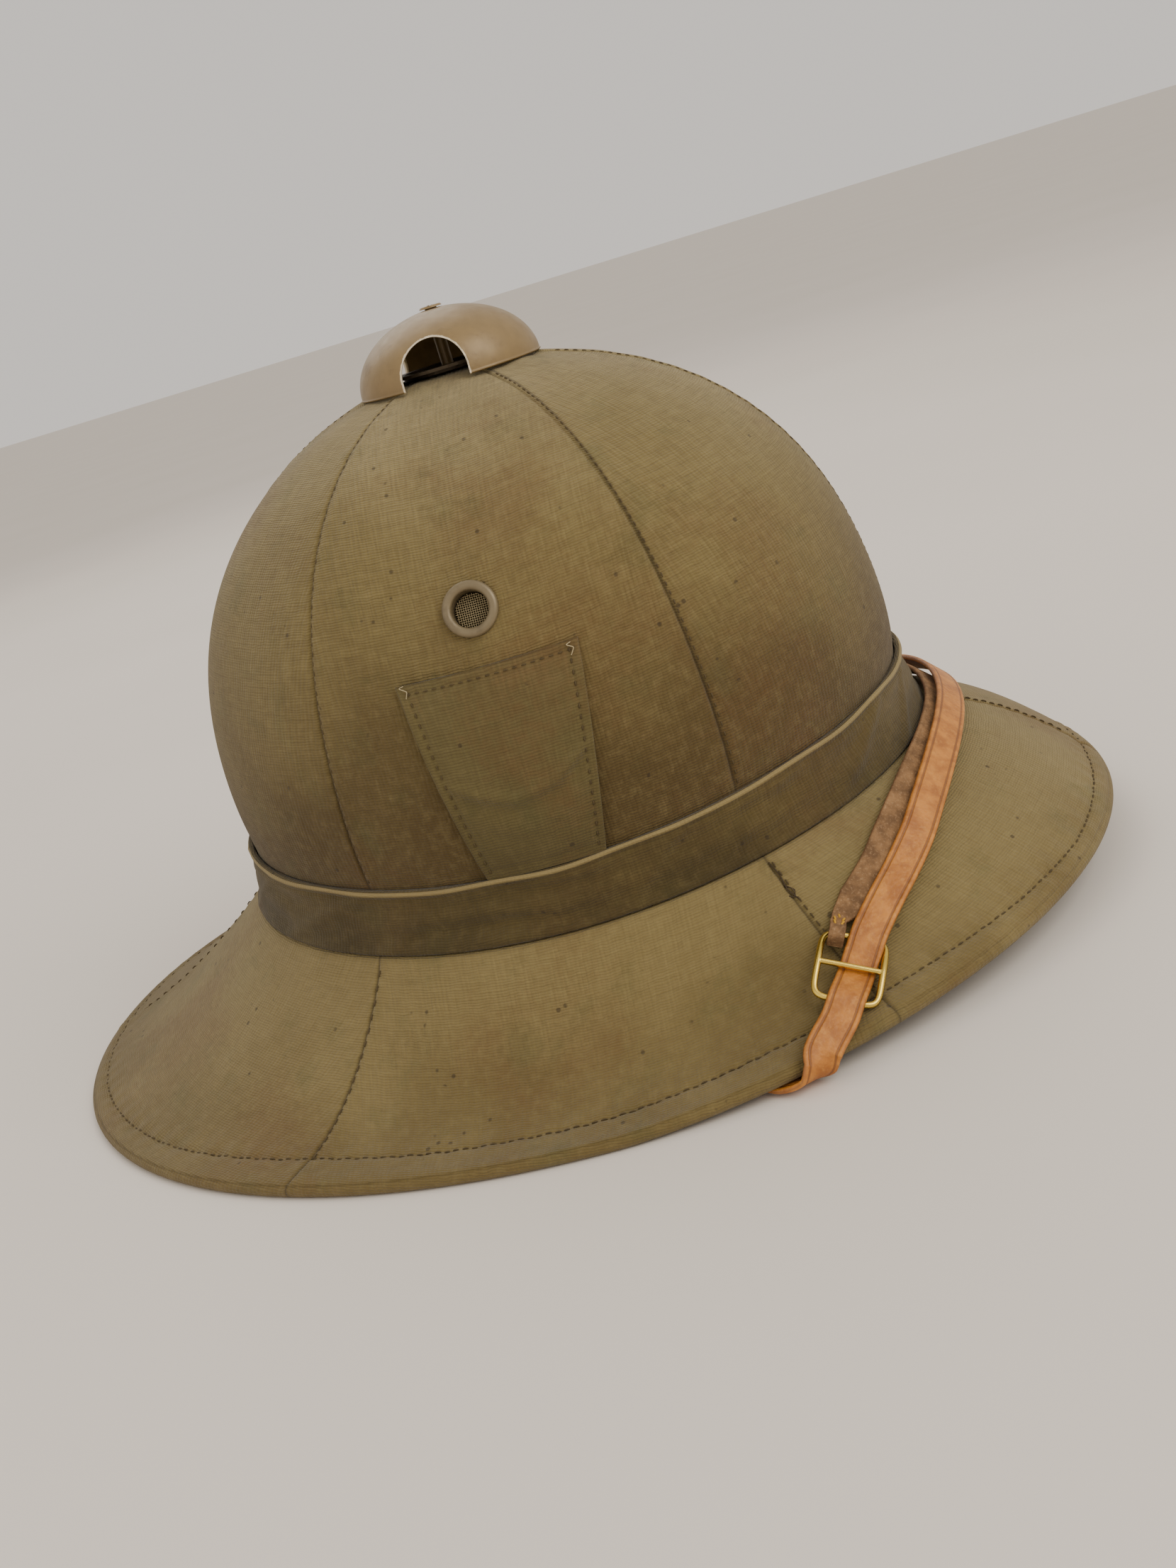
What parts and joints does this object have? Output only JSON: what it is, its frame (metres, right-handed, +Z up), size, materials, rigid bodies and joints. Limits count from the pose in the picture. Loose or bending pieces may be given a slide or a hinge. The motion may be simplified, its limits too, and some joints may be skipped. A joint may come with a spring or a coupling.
{
  "type": "pith helmet",
  "caption": "Cloth-covered cork sun helmet with a panelled round crown, drooping brim, domed top ventilator, round side vents and a leather chin strap worn over the front of the brim.",
  "frame": {"origin": "under the middle of the brim's length and width, on the surface that the brim rests on", "axes": "+Z up, -Y to the front of the helmet, +X to the wearer's left"},
  "size_m": [0.2986, 0.3554, 0.2101],
  "materials": {
    "cover_cloth": "olive khaki cotton weave over cork, faded with reddish and greenish patches",
    "band_cloth": "greener khaki cotton weave, less faded",
    "painted_sheet": "tan satin paint, chipped at the edges",
    "dark_metal": "dull darkened metal",
    "strap_leather": "light tan grain leather with a crease line along each edge",
    "strap_suede": "rough flesh side, grey brown",
    "brass": "bright yellow brass wire"
  },
  "bodies": {
    "root": {"crown": "cover_cloth", "brim": "cover_cloth", "band": "band_cloth", "patch_right": "band_cloth", "patch_left": "band_cloth", "ventilator_cap": "painted_sheet", "ventilator_screw": "painted_sheet", "ventilator_collar": "dark_metal", "side_vent_right": "painted_sheet", "side_vent_left": "painted_sheet", "vent_mesh_right": "dark_metal", "vent_mesh_left": "dark_metal", "strap_outer": "strap_leather", "strap_inner": "strap_suede", "buckle_right": "brass", "buckle_left": "brass"}
  },
  "joints": []
}
